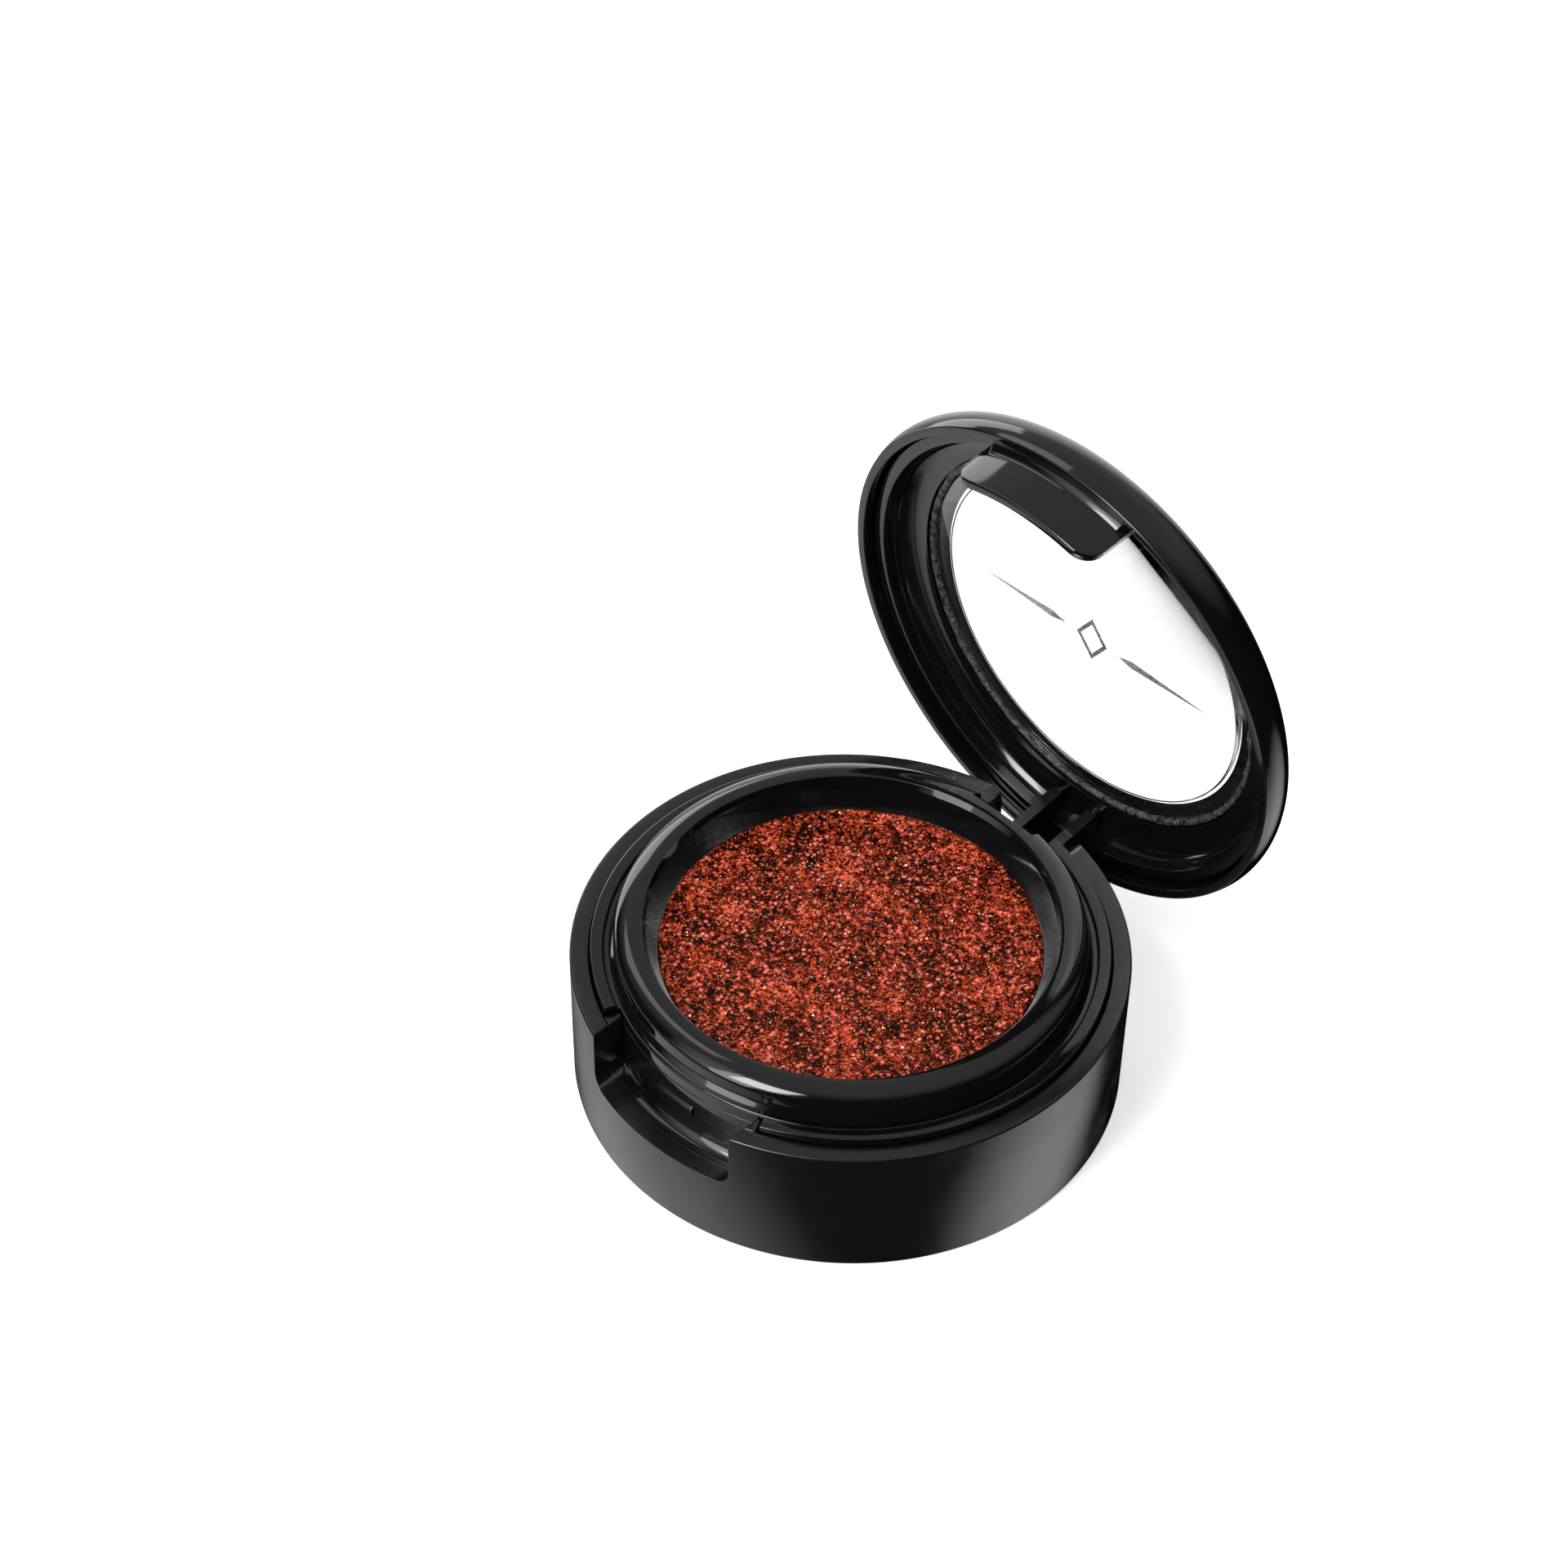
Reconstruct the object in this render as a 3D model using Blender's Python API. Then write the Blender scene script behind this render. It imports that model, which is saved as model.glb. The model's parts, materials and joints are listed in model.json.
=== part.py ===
"""A round single-shade eyeshadow compact, standing open.

A base shell holds an inner frame with a pressed-powder pan, and a windowed lid turns on a hinge pin at the back.
+Z is up, the thumb notch faces -Y and the hinge is at +Y. The origin is the middle of the flat underside.
All lengths below are in millimetres, and become metres when a mesh is made. The lid is drawn closed, with its
heights measured up from its own rim plane, and is then swung open about the hinge.
"""

import math

import bmesh
import bpy
from mathutils import Vector

MM = 0.001

# Driving dimensions
CASE_RADIUS = 19.0
BASE_HEIGHT = 10.6
LID_HEIGHT = 4.3
SEAM = 0.25  # between the rims of the base and the closed lid
GAP = 0.2  # between neighbouring pieces
FLOOR = 1.2  # thickness of the base's floor
PAN_RADIUS = 12.95
POWDER_LEVEL = 11.2

# Hinge, with its axis along X
HINGE_Y = 16.75
HINGE_Z = 7.05
OPEN_ANGLE = 86.0
HUB_RADIUS = 1.25
PIN_RADIUS = 0.5
PIN_HALF_LENGTH = 4.5
ARM_INNER_X = 1.2
ARM_OUTER_X = 2.05
EAR_INNER_X = 2.35
EAR_OUTER_X = 4.6

# Thumb notch at the front, and the lid's tab that hangs in it
NOTCH_HALF_WIDTH = 6.35
NOTCH_FLOOR = 5.95
NOTCH_CORNER = 1.1
TAB_HALF_ANGLE = 20.2
TAB_DROP = 3.7

FRONT = -90.0  # polar angle of the notch, in degrees
OUTSIDE = CASE_RADIUS + 1.5  # where a cutter ends beyond the case
LID_RIM = BASE_HEIGHT + SEAM
STEPS = 48  # facets round a turned piece
ARC_STEPS = 4  # facets in a small rounding
HOLE_STEPS = 16
MERGE_DISTANCE = 1e-6
SHARP_ANGLE = math.radians(35)


def clear_scene():
    for old in list(bpy.data.objects):
        bpy.data.objects.remove(old, do_unlink=True)


def finish(name, colour, roughness, metallic=0.0):
    """A plain Principled BSDF material."""
    material = bpy.data.materials.new(name)
    material.use_nodes = True
    shader = material.node_tree.nodes["Principled BSDF"]
    shader.inputs["Base Color"].default_value = (*colour, 1.0)
    shader.inputs["Roughness"].default_value = roughness
    shader.inputs["Metallic"].default_value = metallic
    return material


def arc(centre, radii, start, end, steps=ARC_STEPS):
    """Points along a circle's or an ellipse's arc between two angles in degrees."""
    points = []
    for step in range(steps + 1):
        angle = math.radians(start + (end - start) * step / steps)
        points.append((centre[0] + radii[0] * math.cos(angle), centre[1] + radii[1] * math.sin(angle)))
    return points


def circle(centre, radius, steps=HOLE_STEPS):
    return arc(centre, (radius, radius), 0, 360, steps)[:-1]


def make_object(name, shape, material):
    """Turns a bmesh into an object, smooth except along its sharp edges."""
    bmesh.ops.remove_doubles(shape, verts=shape.verts, dist=MERGE_DISTANCE)
    bmesh.ops.recalc_face_normals(shape, faces=shape.faces)
    mesh = bpy.data.meshes.new(name)
    shape.to_mesh(mesh)
    shape.free()
    mesh.shade_smooth()
    mesh.set_sharp_from_angle(angle=SHARP_ANGLE)
    if material:
        mesh.materials.append(material)
    piece = bpy.data.objects.new(name, mesh)
    bpy.context.collection.objects.link(piece)
    return piece


def turned(name, outline, material):
    """Spins an outline of (radius, height) about Z. One that starts off the axis is closed into a ring."""
    shape = bmesh.new()
    points = [shape.verts.new((radius * MM, 0, height * MM)) for radius, height in outline]
    for first, second in zip(points, points[1:]):
        shape.edges.new((first, second))
    if outline[0][0] > 0:
        shape.edges.new((points[-1], points[0]))
    bmesh.ops.spin(
        shape,
        geom=shape.verts[:] + shape.edges[:],
        cent=(0, 0, 0),
        axis=(0, 0, 1),
        angle=math.tau,
        steps=STEPS,
        use_merge=True,
    )
    return make_object(name, shape, material)


def lofted(name, rings, material=None):
    """A solid through closed rings of points, capped at both ends."""
    shape = bmesh.new()
    rows = [[shape.verts.new(Vector(point) * MM) for point in ring] for ring in rings]
    for near, far in zip(rows, rows[1:]):
        for i in range(len(near)):
            shape.faces.new((near[i - 1], near[i], far[i], far[i - 1]))
    shape.faces.new(rows[0])
    shape.faces.new(rows[-1])
    return make_object(name, shape, material)


def around(section, angle):
    """A section of (radius, height) stood up at a polar angle in degrees."""
    turn = math.radians(angle)
    return [(radius * math.cos(turn), radius * math.sin(turn), height) for radius, height in section]


def sector(name, section, half_angle, steps):
    """A section swept part of the way round, centred on the front."""
    angles = [FRONT + half_angle * (2 * step / steps - 1) for step in range(steps + 1)]
    return lofted(name, [around(section, angle) for angle in angles])


def slab_x(name, outline, start, end, material=None):
    """An outline of (y, z) extruded along X."""
    return lofted(name, [[(x, y, z) for y, z in outline] for x in (start, end)], material)


def slab_y(name, outline, start, end):
    """An outline of (x, z) extruded along Y."""
    return lofted(name, [[(x, y, z) for x, z in outline] for y in (start, end)])


def rectangle(low, high):
    return [low, (high[0], low[1]), high, (low[0], high[1])]


def combine(target, tool, operation):
    """Adds or cuts away a helper shape. The helper moves with its piece."""
    modifier = target.modifiers.new(tool.name, "BOOLEAN")
    modifier.operation = operation
    modifier.object = tool
    tool.parent = target
    tool.hide_render = True
    tool.display_type = "WIRE"


def cut_pin_hole(target, clearance):
    """Bores the hinge axis through a piece."""
    bore = circle((HINGE_Y, HINGE_Z), PIN_RADIUS + clearance)
    combine(target, slab_x(target.name + "_pin_hole", bore, -OUTSIDE, OUTSIDE), "DIFFERENCE")


def on_lid(outline):
    """Moves an outline of (radius, height above the lid's rim) to the closed lid's place."""
    return [(radius, LID_RIM + height) for radius, height in outline]


def base_shell_body(material):
    """The cup: a flat floor, and a wall with a small draft and a rebate inside its rim."""
    wall_inner = 17.7
    rebate_inner = 18.0
    rebate_floor = 9.7
    edge = 0.15
    draft = 0.17
    outline = [
        (0, FLOOR),
        (wall_inner, FLOOR),
        (wall_inner, rebate_floor),
        (rebate_inner, rebate_floor),
        (rebate_inner, BASE_HEIGHT - edge),
        (rebate_inner + edge, BASE_HEIGHT),
        (CASE_RADIUS - edge, BASE_HEIGHT),
        (CASE_RADIUS, BASE_HEIGHT - edge),
        (CASE_RADIUS - draft, edge),
        (CASE_RADIUS - draft - edge, 0),
        (0, 0),
    ]
    return turned("base_shell", outline, material)


def add_notch(shell):
    """A shelf behind the front wall, and the thumb notch cut through both."""
    shelf_inner = 16.75
    shelf_outer = 18.3
    shelf_half_angle = 23.8
    shelf_thickness = 1.0
    shelf_top = BASE_HEIGHT - 0.03
    shelf_steps = 6
    notch_top = BASE_HEIGHT + 1.4
    notch_back = -14.0
    section = rectangle((shelf_inner, NOTCH_FLOOR - shelf_thickness), (shelf_outer, shelf_top))
    combine(shell, sector("notch_shelf", section, shelf_half_angle, shelf_steps), "UNION")
    corner_x = NOTCH_HALF_WIDTH - NOTCH_CORNER
    corner_z = NOTCH_FLOOR + NOTCH_CORNER
    radii = (NOTCH_CORNER, NOTCH_CORNER)
    outline = [
        *arc((-corner_x, corner_z), radii, 180, 270),
        *arc((corner_x, corner_z), radii, 270, 360),
        (NOTCH_HALF_WIDTH, notch_top),
        (-NOTCH_HALF_WIDTH, notch_top),
    ]
    combine(shell, slab_y("notch_cut", outline, -OUTSIDE, notch_back), "DIFFERENCE")


def add_hinge_seat(shell):
    """A slot in the rear wall for the lid's arms, and an ear on each side that holds the pin."""
    sill = 5.4
    slot_half_width = 3.4
    slot_front = 17.0
    slot_top = BASE_HEIGHT + 1.4
    flare = 1.25
    flare_end = 100
    flare_x = slot_half_width + flare
    flare_z = BASE_HEIGHT - flare
    right = arc((flare_x, flare_z), (flare, flare), 180, flare_end)
    right = [(slot_half_width, sill), *right, (right[-1][0], slot_top)]
    left = [(-x, z) for x, z in reversed(right)]
    combine(shell, slab_y("hinge_slot", right + left, slot_front, OUTSIDE), "DIFFERENCE")
    ear_foot = FLOOR - 0.2
    ear = [
        (HINGE_Y - HUB_RADIUS, ear_foot),
        *arc((HINGE_Y, HINGE_Z), (HUB_RADIUS, HUB_RADIUS), 180, 0, 2 * ARC_STEPS),
        (HINGE_Y + HUB_RADIUS, ear_foot),
    ]
    combine(shell, slab_x("left_ear", ear, -EAR_OUTER_X, -EAR_INNER_X), "UNION")
    combine(shell, slab_x("right_ear", ear, EAR_INNER_X, EAR_OUTER_X), "UNION")
    cut_pin_hole(shell, 0.05)


def base_shell(material):
    shell = base_shell_body(material)
    add_notch(shell)
    add_hinge_seat(shell)
    return shell


def inner_frame_body(material):
    """The insert: a pan seat, the raised lip round it, a ledge ring at the rim and a skirt down to the floor."""
    seat = 7.3
    plate = 1.0
    bowl = PAN_RADIUS + 0.25
    bowl_edge = 10.95
    bowl_top = (14.05, 12.8)
    lip_top = 13.2
    lip_inner = 14.4
    lip_outer = 16.3
    lip_corner = 0.4
    trough = 10.75
    ring_inner = 16.7
    ring_outer = 17.6
    ring_top = BASE_HEIGHT + 0.55
    ring_under = 10.0
    edge = 0.15
    skirt_outer = 16.5
    skirt_inner = 15.7
    skirt_foot = FLOOR + GAP
    hollow_outer = 15.2
    hollow_top = 12.1
    bowl_curve = arc((lip_inner, bowl_top[1]), (lip_inner - bowl_top[0], lip_top - bowl_top[1]), 180, 90)
    lip_curve = arc((lip_outer - lip_corner, lip_top - lip_corner), (lip_corner, lip_corner), 90, 0)
    outline = [
        (0, seat),
        (bowl, seat),
        (bowl, bowl_edge),
        *bowl_curve,
        *lip_curve,
        (lip_outer, trough + edge),
        (lip_outer + edge, trough),
        (ring_inner, trough),
        (ring_inner, ring_top - 2 * edge),
        (ring_inner + edge, ring_top - edge / 2),
        (ring_outer - edge, ring_top - edge / 2),
        (ring_outer, ring_top - edge),
        (ring_outer, ring_under),
        (skirt_outer, ring_under),
        (skirt_outer, skirt_foot),
        (skirt_inner, skirt_foot),
        (skirt_inner, hollow_top),
        (hollow_outer, hollow_top),
        (hollow_outer, seat - plate),
        (0, seat - plate),
    ]
    return turned("inner_frame", outline, material)


def clear_frame_openings(frame):
    """Takes the ledge ring away at the notch, and makes room for the ears and the lid's arms at the back."""
    ring_cut_half_angle = 24.6
    ring_cut_steps = 6
    ring_section = rectangle((16.46, 9.9), (18.5, BASE_HEIGHT + 0.7))
    ring_cut = sector("ring_cut", ring_section, ring_cut_half_angle, ring_cut_steps)
    combine(frame, ring_cut, "DIFFERENCE")
    ear_room = EAR_OUTER_X + 0.3
    ear_ceiling = HINGE_Z + HUB_RADIUS + 0.35
    ear_cut = slab_x("ear_cut", rectangle((14.55, 0), (CASE_RADIUS, ear_ceiling)), -ear_room, ear_room)
    combine(frame, ear_cut, "DIFFERENCE")
    arm_room = 2.8
    arm_cut_front = 14.8
    arm_cut_top = 14.0
    arm_cut_outline = rectangle((arm_cut_front, FLOOR), (CASE_RADIUS, arm_cut_top))
    combine(frame, slab_x("arm_cut", arm_cut_outline, -arm_room, arm_room), "DIFFERENCE")


def add_catch_rib(frame):
    """The short rib at the back of the notch, which the tab's bead snaps under."""
    rib_half_angle = 5.5
    rib_steps = 4
    root = 16.3
    section = [(root, 7.75), (16.62, 7.85), (16.7, 8.1), (16.7, 8.6), (root, 8.9)]
    combine(frame, sector("catch_rib", section, rib_half_angle, rib_steps), "UNION")


def inner_frame(material):
    frame = inner_frame_body(material)
    clear_frame_openings(frame)
    add_catch_rib(frame)
    return frame


def pan(material):
    """The pressed tinplate pan with its thin wall."""
    under = 7.7
    sheet = 0.3
    corner = 0.2
    wall_top = 10.55
    inner = PAN_RADIUS - sheet
    outline = [
        (0, under + sheet),
        (inner - corner, under + sheet),
        (inner, under + sheet + corner),
        (inner, wall_top),
        (PAN_RADIUS, wall_top),
        (PAN_RADIUS, under + corner),
        (PAN_RADIUS - corner, under),
        (0, under),
    ]
    return turned("pan", outline, material)


def powder(material):
    """The pressed powder cake, heaped over the pan's edge with a soft shoulder."""
    foot = 8.15
    foot_radius = 12.5
    foot_corner = 0.15
    brim = 10.7
    brim_radius = 13.0
    outline = [
        (0, foot),
        (foot_radius - foot_corner, foot),
        (foot_radius, foot + foot_corner),
        (foot_radius, brim),
        (brim_radius, brim),
        (brim_radius, POWDER_LEVEL - 0.25),
        (brim_radius - 0.15, POWDER_LEVEL - 0.1),
        (brim_radius - 0.7, POWDER_LEVEL - 0.03),
        (0, POWDER_LEVEL),
    ]
    return turned("powder", outline, material)


def pan_adhesive(material):
    """The glue spot under the pan."""
    radius = 9.5
    under = 7.4
    top = 7.55
    return turned("pan_adhesive", [(0, top), (radius, top), (radius, under), (0, under)], material)


def hinge_pin(material):
    """The steel hinge pin, slightly tapered at both ends."""
    chamfer = 0.12
    stations = [
        (-PIN_HALF_LENGTH, PIN_RADIUS - chamfer),
        (chamfer - PIN_HALF_LENGTH, PIN_RADIUS),
        (PIN_HALF_LENGTH - chamfer, PIN_RADIUS),
        (PIN_HALF_LENGTH, PIN_RADIUS - chamfer),
    ]
    rings = [[(x, y, z) for y, z in circle((HINGE_Y, HINGE_Z), radius)] for x, radius in stations]
    return lofted("hinge_pin", rings, material)


def lid_ring(material):
    """The lid's bulged outer ring, with a rebate for the window round its opening."""
    rim_inner = 18.1
    rim_outer = 18.75
    bulge_centre = (14.8, 1.06)
    bulge_radii = (4.16, 3.24)
    bulge_start = -18
    bulge_end = 110
    bulge_steps = 12
    opening = 13.25
    outline = [
        (rim_inner, 0),
        (rim_outer, 0),
        *arc(bulge_centre, bulge_radii, bulge_start, bulge_end, bulge_steps),
        (opening, LID_HEIGHT - 0.35),
        (opening, LID_HEIGHT - 0.45),
        (opening + 1.2, LID_HEIGHT - 0.45),
        (opening + 1.35, 3.6),
        (16.1, 3.35),
        (17.3, 2.75),
        (18.0, 1.7),
        (rim_inner, 1.3),
    ]
    return turned("lid_ring", on_lid(outline), material)


def lid_inner_ring_body(material):
    """The lining inside the lid: a stepped rim and a concave wall up to the window."""
    bore = 17.0
    outer = 17.9
    foot = 0.85
    outline = [
        (bore, foot),
        (outer, foot),
        (outer, 1.25),
        (17.8, 1.65),
        (17.1, 2.55),
        (16.0, 3.1),
        (14.9, 3.3),
        (14.9, 2.95),
        (15.8, 2.75),
        (16.5, 2.3),
        (16.9, 1.8),
        (bore, 1.6),
    ]
    return turned("lid_inner_ring", on_lid(outline), material)


def add_tab(ring):
    """The curved tab that hangs into the notch, with rounded free corners and a catch bead on its back."""
    inner = 16.95
    outer = 17.65
    root_outer = 17.85
    root_top = 1.2
    root_taper = -0.45
    corner = 1.1
    steps = 32
    rings = []
    for step in range(steps + 1):
        angle = TAB_HALF_ANGLE * (2 * step / steps - 1)
        from_end = outer * math.radians(TAB_HALF_ANGLE - abs(angle))
        inset = max(0.0, corner - from_end)
        free_edge = corner - TAB_DROP - math.sqrt(corner**2 - inset**2)
        section = [
            (inner, root_top),
            (inner, free_edge),
            (outer, free_edge),
            (outer, root_taper),
            (root_outer, 0),
            (root_outer, root_top),
        ]
        rings.append(around(on_lid(section), FRONT + angle))
    combine(ring, lofted("tab", rings), "UNION")
    bead_half_angle = 6.5
    bead_steps = 4
    bead = [(inner + 0.25, -3.55), (inner + 0.25, -3.15), (inner - 0.1, -3.25), (inner - 0.1, -3.45)]
    combine(ring, sector("tab_bead", on_lid(bead), bead_half_angle, bead_steps), "UNION")


def add_arms(ring):
    """Two flat arms from the back of the lid down to the hinge, each with a hub and a round boss."""
    boss_radius = 1.0
    boss_reach = 0.15
    outline = [
        *arc((HINGE_Y, HINGE_Z), (HUB_RADIUS, HUB_RADIUS), 180, 360, 2 * ARC_STEPS),
        (17.75, 11.75),
        (17.6, 12.3),
        (17.0, 13.1),
        (16.0, 13.8),
        (15.05, 14.0),
        (15.05, 12.9),
    ]
    boss = circle((HINGE_Y, HINGE_Z), boss_radius)
    for side, sign in (("left", -1), ("right", 1)):
        arm = slab_x(side + "_arm", outline, sign * ARM_INNER_X, sign * ARM_OUTER_X)
        combine(ring, arm, "UNION")
        boss_start = ARM_INNER_X + boss_reach
        boss_end = ARM_OUTER_X + boss_reach
        combine(ring, slab_x(side + "_boss", boss, sign * boss_start, sign * boss_end), "UNION")
    cut_pin_hole(ring, 0.08)


def lid_inner_ring(material):
    ring = lid_inner_ring_body(material)
    add_tab(ring)
    add_arms(ring)
    return ring


def window(material):
    """The clear window: a flange under the lid ring, and a raised middle that fills its opening."""
    flange_radius = 14.3
    flange_top = 3.65
    under = 3.3
    middle_radius = 13.05
    top = LID_HEIGHT - 0.3
    edge = 0.08
    outline = [
        (0, under),
        (flange_radius, under),
        (flange_radius, flange_top),
        (middle_radius, flange_top),
        (middle_radius, top - edge),
        (middle_radius - edge, top),
        (0, top),
    ]
    return turned("window", on_lid(outline), material)


def window_glue(material):
    """The ring of glue round the window's edge."""
    outline = rectangle((14.42, 3.15), (14.76, 3.45))
    return turned("window_glue", on_lid(outline), material)


def lid_pivot():
    """An empty on the hinge axis, turned back by the open angle."""
    pivot = bpy.data.objects.new("lid_pivot", None)
    bpy.context.collection.objects.link(pivot)
    pivot.location = Vector((0, HINGE_Y, HINGE_Z)) * MM
    pivot.rotation_euler = (math.radians(-OPEN_ANGLE), 0, 0)
    return pivot


def hang(piece, pivot):
    """Carries a piece drawn on the closed lid over to the open one."""
    piece.parent = pivot
    piece.location = -pivot.location


def main():
    clear_scene()
    gloss_black = finish("gloss_black", (0.012, 0.012, 0.013), 0.16)
    satin_black = finish("satin_black", (0.018, 0.018, 0.019), 0.3)
    base_shell(gloss_black)
    inner_frame(gloss_black)
    pan(finish("tinplate", (0.62, 0.62, 0.63), 0.35, 1.0))
    powder(finish("powder", (0.34, 0.07, 0.035), 0.6))
    pan_adhesive(finish("glue", (0.75, 0.73, 0.66), 0.5))
    hinge_pin(finish("steel", (0.56, 0.57, 0.58), 0.3, 1.0))
    pivot = lid_pivot()
    lid_pieces = [
        lid_ring(gloss_black),
        lid_inner_ring(satin_black),
        window(finish("clear", (0.93, 0.94, 0.95), 0.04)),
        window_glue(finish("dried_glue", (0.2, 0.2, 0.21), 0.45)),
    ]
    for piece in lid_pieces:
        hang(piece, pivot)


main()
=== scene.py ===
import json
import math
import random

import bmesh
import bpy
from mathutils import Matrix, Vector, noise


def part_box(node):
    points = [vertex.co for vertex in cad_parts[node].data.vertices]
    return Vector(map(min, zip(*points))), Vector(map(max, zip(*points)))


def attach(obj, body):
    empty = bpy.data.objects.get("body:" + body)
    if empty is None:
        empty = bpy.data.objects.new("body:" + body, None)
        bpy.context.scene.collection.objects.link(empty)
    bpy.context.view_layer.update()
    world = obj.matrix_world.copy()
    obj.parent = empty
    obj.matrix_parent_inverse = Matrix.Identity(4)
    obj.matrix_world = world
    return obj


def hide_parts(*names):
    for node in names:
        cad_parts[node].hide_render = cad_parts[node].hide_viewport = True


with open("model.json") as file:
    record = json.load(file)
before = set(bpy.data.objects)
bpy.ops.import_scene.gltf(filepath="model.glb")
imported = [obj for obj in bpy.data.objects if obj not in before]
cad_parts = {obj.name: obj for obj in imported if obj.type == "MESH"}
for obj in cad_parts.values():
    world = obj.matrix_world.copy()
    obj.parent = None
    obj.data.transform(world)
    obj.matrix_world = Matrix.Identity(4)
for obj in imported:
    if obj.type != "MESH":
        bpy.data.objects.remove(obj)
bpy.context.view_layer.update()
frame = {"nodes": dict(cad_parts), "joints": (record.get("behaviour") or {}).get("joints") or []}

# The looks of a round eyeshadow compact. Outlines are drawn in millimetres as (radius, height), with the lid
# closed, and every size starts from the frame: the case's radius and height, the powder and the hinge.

MM = 0.001

# Sizes read from the frame, in millimetres
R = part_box("base_shell")[1].x / MM  # radius of the case
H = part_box("base_shell")[1].z / MM  # rim of the base
POWDER_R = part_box("powder")[1].x / MM
POWDER_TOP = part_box("powder")[1].z / MM
HINGE = frame["joints"][0]
HINGE_Y = HINGE["pos_m"][1] / MM
HINGE_Z = HINGE["pos_m"][2] / MM
OPEN_ANGLE = -HINGE["range_deg"][0]  # the joint's lower limit is the closed lid

# Sizes that several pieces share, in millimetres
SEAM = 0.25  # gap between the base's rim and the closed lid's
LID_RIM = H + SEAM
LID_HEIGHT = 4.3
WINDOW_R = R - 5.95  # radius of the window's raised middle
WINDOW_TOP = LID_HEIGHT - 0.3
TAB_FACE = R - 2.05  # inner face of the tab
HUB_R = 1.25  # round ends of the arms and ears
EAR_BORE_R = 0.55
ARM_BORE_R = 0.58
ARM_X = (1.2, 2.05)  # inner and outer face of the right arm
EAR_X = (2.35, 4.6)  # and of the right ear
NOTCH_X = 6.35  # half the thumb notch's width
NOTCH_FLOOR = 5.95
FRONT = -90.0  # polar angle of the notch's middle, in degrees
SIDES = (("left", -1), ("right", 1))

STEPS = 256  # facets round a turned piece
FILLET_STEPS = 4
SHARP_ANGLE = math.radians(32)

# The flakes in the powder: name, share in a hundred, darkest and lightest colour
FLAKES = (
    ("flake_red", 34, (0.5, 0.04, 0.02), (0.9, 0.12, 0.07)),
    ("flake_copper", 30, (0.5, 0.12, 0.04), (0.95, 0.35, 0.14)),
    ("flake_rust", 22, (0.2, 0.03, 0.012), (0.5, 0.08, 0.03)),
    ("flake_pink", 8, (0.8, 0.25, 0.2), (0.95, 0.55, 0.45)),
    ("flake_silver", 4, (0.7, 0.7, 0.72), (0.95, 0.95, 0.97)),
    ("flake_blue", 2, (0.1, 0.12, 0.5), (0.35, 0.4, 0.9)),
)

# What the gloss reflects beside the softboxes: azimuth, elevation, inner and outer radius in degrees,
# and radiance
GLOWS = (
    (-150, 60, 40, 64, 0.55),  # white ceiling
    (-14, 16, 6, 26, 1.6),  # soft edge of the key light, low
    (-14, 46, 6, 26, 1.6),  # and high
    (-138, -8, 12, 34, 1.3),  # bright backdrop behind on the left
    (-50, -50, 15, 45, 1.0),  # table in front on the left
    (130, -45, 6, 28, 1.7),  # table beyond on the right
)


# ---- Shapes ----


def arc(centre, radii, start, end, steps=12):
    """Points along a circle's or an ellipse's arc between two angles in degrees."""
    points = []
    for step in range(steps + 1):
        angle = math.radians(start + (end - start) * step / steps)
        points.append((centre[0] + radii[0] * math.cos(angle), centre[1] + radii[1] * math.sin(angle)))
    return points


def kept_arc(centre, radii, start, end, steps):
    """An arc to put among the corners of a rounded outline, which leaves its points as they are."""
    return [(*point, 0) for point in arc(centre, radii, start, end, steps)]


def circle(centre, radius, steps=48):
    """A whole circle's points, each of them once."""
    return arc(centre, (radius, radius), 0, 360, steps)[:-1]


def rectangle(low, high):
    """The four corners between two opposite ones."""
    return [low, (high[0], low[1]), high, (low[0], high[1])]


def fillet(before, corner, after, radius):
    """The arc that rounds one corner, kept short enough to leave room for its neighbours."""
    to_before = before - corner
    to_after = after - corner
    half = to_before.angle(to_after) / 2
    reach = min(radius / math.tan(half), 0.45 * min(to_before.length, to_after.length))
    start = corner + to_before.normalized() * reach
    end = corner + to_after.normalized() * reach
    middle = to_before.normalized() + to_after.normalized()
    centre = corner + middle.normalized() * reach / math.cos(half)
    spoke_a = start - centre
    spoke_b = end - centre
    sweep = spoke_a.angle(spoke_b)
    points = []
    for step in range(FILLET_STEPS + 1):
        part = step / FILLET_STEPS
        share_a = math.sin((1 - part) * sweep) / math.sin(sweep)
        share_b = math.sin(part * sweep) / math.sin(sweep)
        points.append(tuple(centre + spoke_a * share_a + spoke_b * share_b))
    return points


def rounded(corners, radius=0.12):
    """An outline with its corners rounded. A corner may bring its own radius, where 0 keeps it sharp."""
    outline = []
    count = len(corners)
    for i, corner in enumerate(corners):
        own = corner[2] if len(corner) > 2 else radius
        if own == 0:
            outline.append((corner[0], corner[1]))
            continue
        before = Vector(corners[i - 1][:2])
        after = Vector(corners[(i + 1) % count][:2])
        outline += fillet(before, Vector(corner[:2]), after, own)
    return outline


def make_object(name, shape):
    """Turns a bmesh in millimetres into a smooth-shaded object in metres."""
    bmesh.ops.remove_doubles(shape, verts=shape.verts, dist=1e-4)
    bmesh.ops.recalc_face_normals(shape, faces=shape.faces)
    shape.transform(Matrix.Scale(MM, 4))
    mesh = bpy.data.meshes.new(name)
    shape.to_mesh(mesh)
    shape.free()
    piece = bpy.data.objects.new(name, mesh)
    bpy.context.scene.collection.objects.link(piece)
    smooth(piece)
    return piece


def smooth(piece):
    """Shades a piece smooth, apart from its sharp edges."""
    piece.data.shade_smooth()
    piece.data.set_sharp_from_angle(angle=SHARP_ANGLE)


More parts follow.
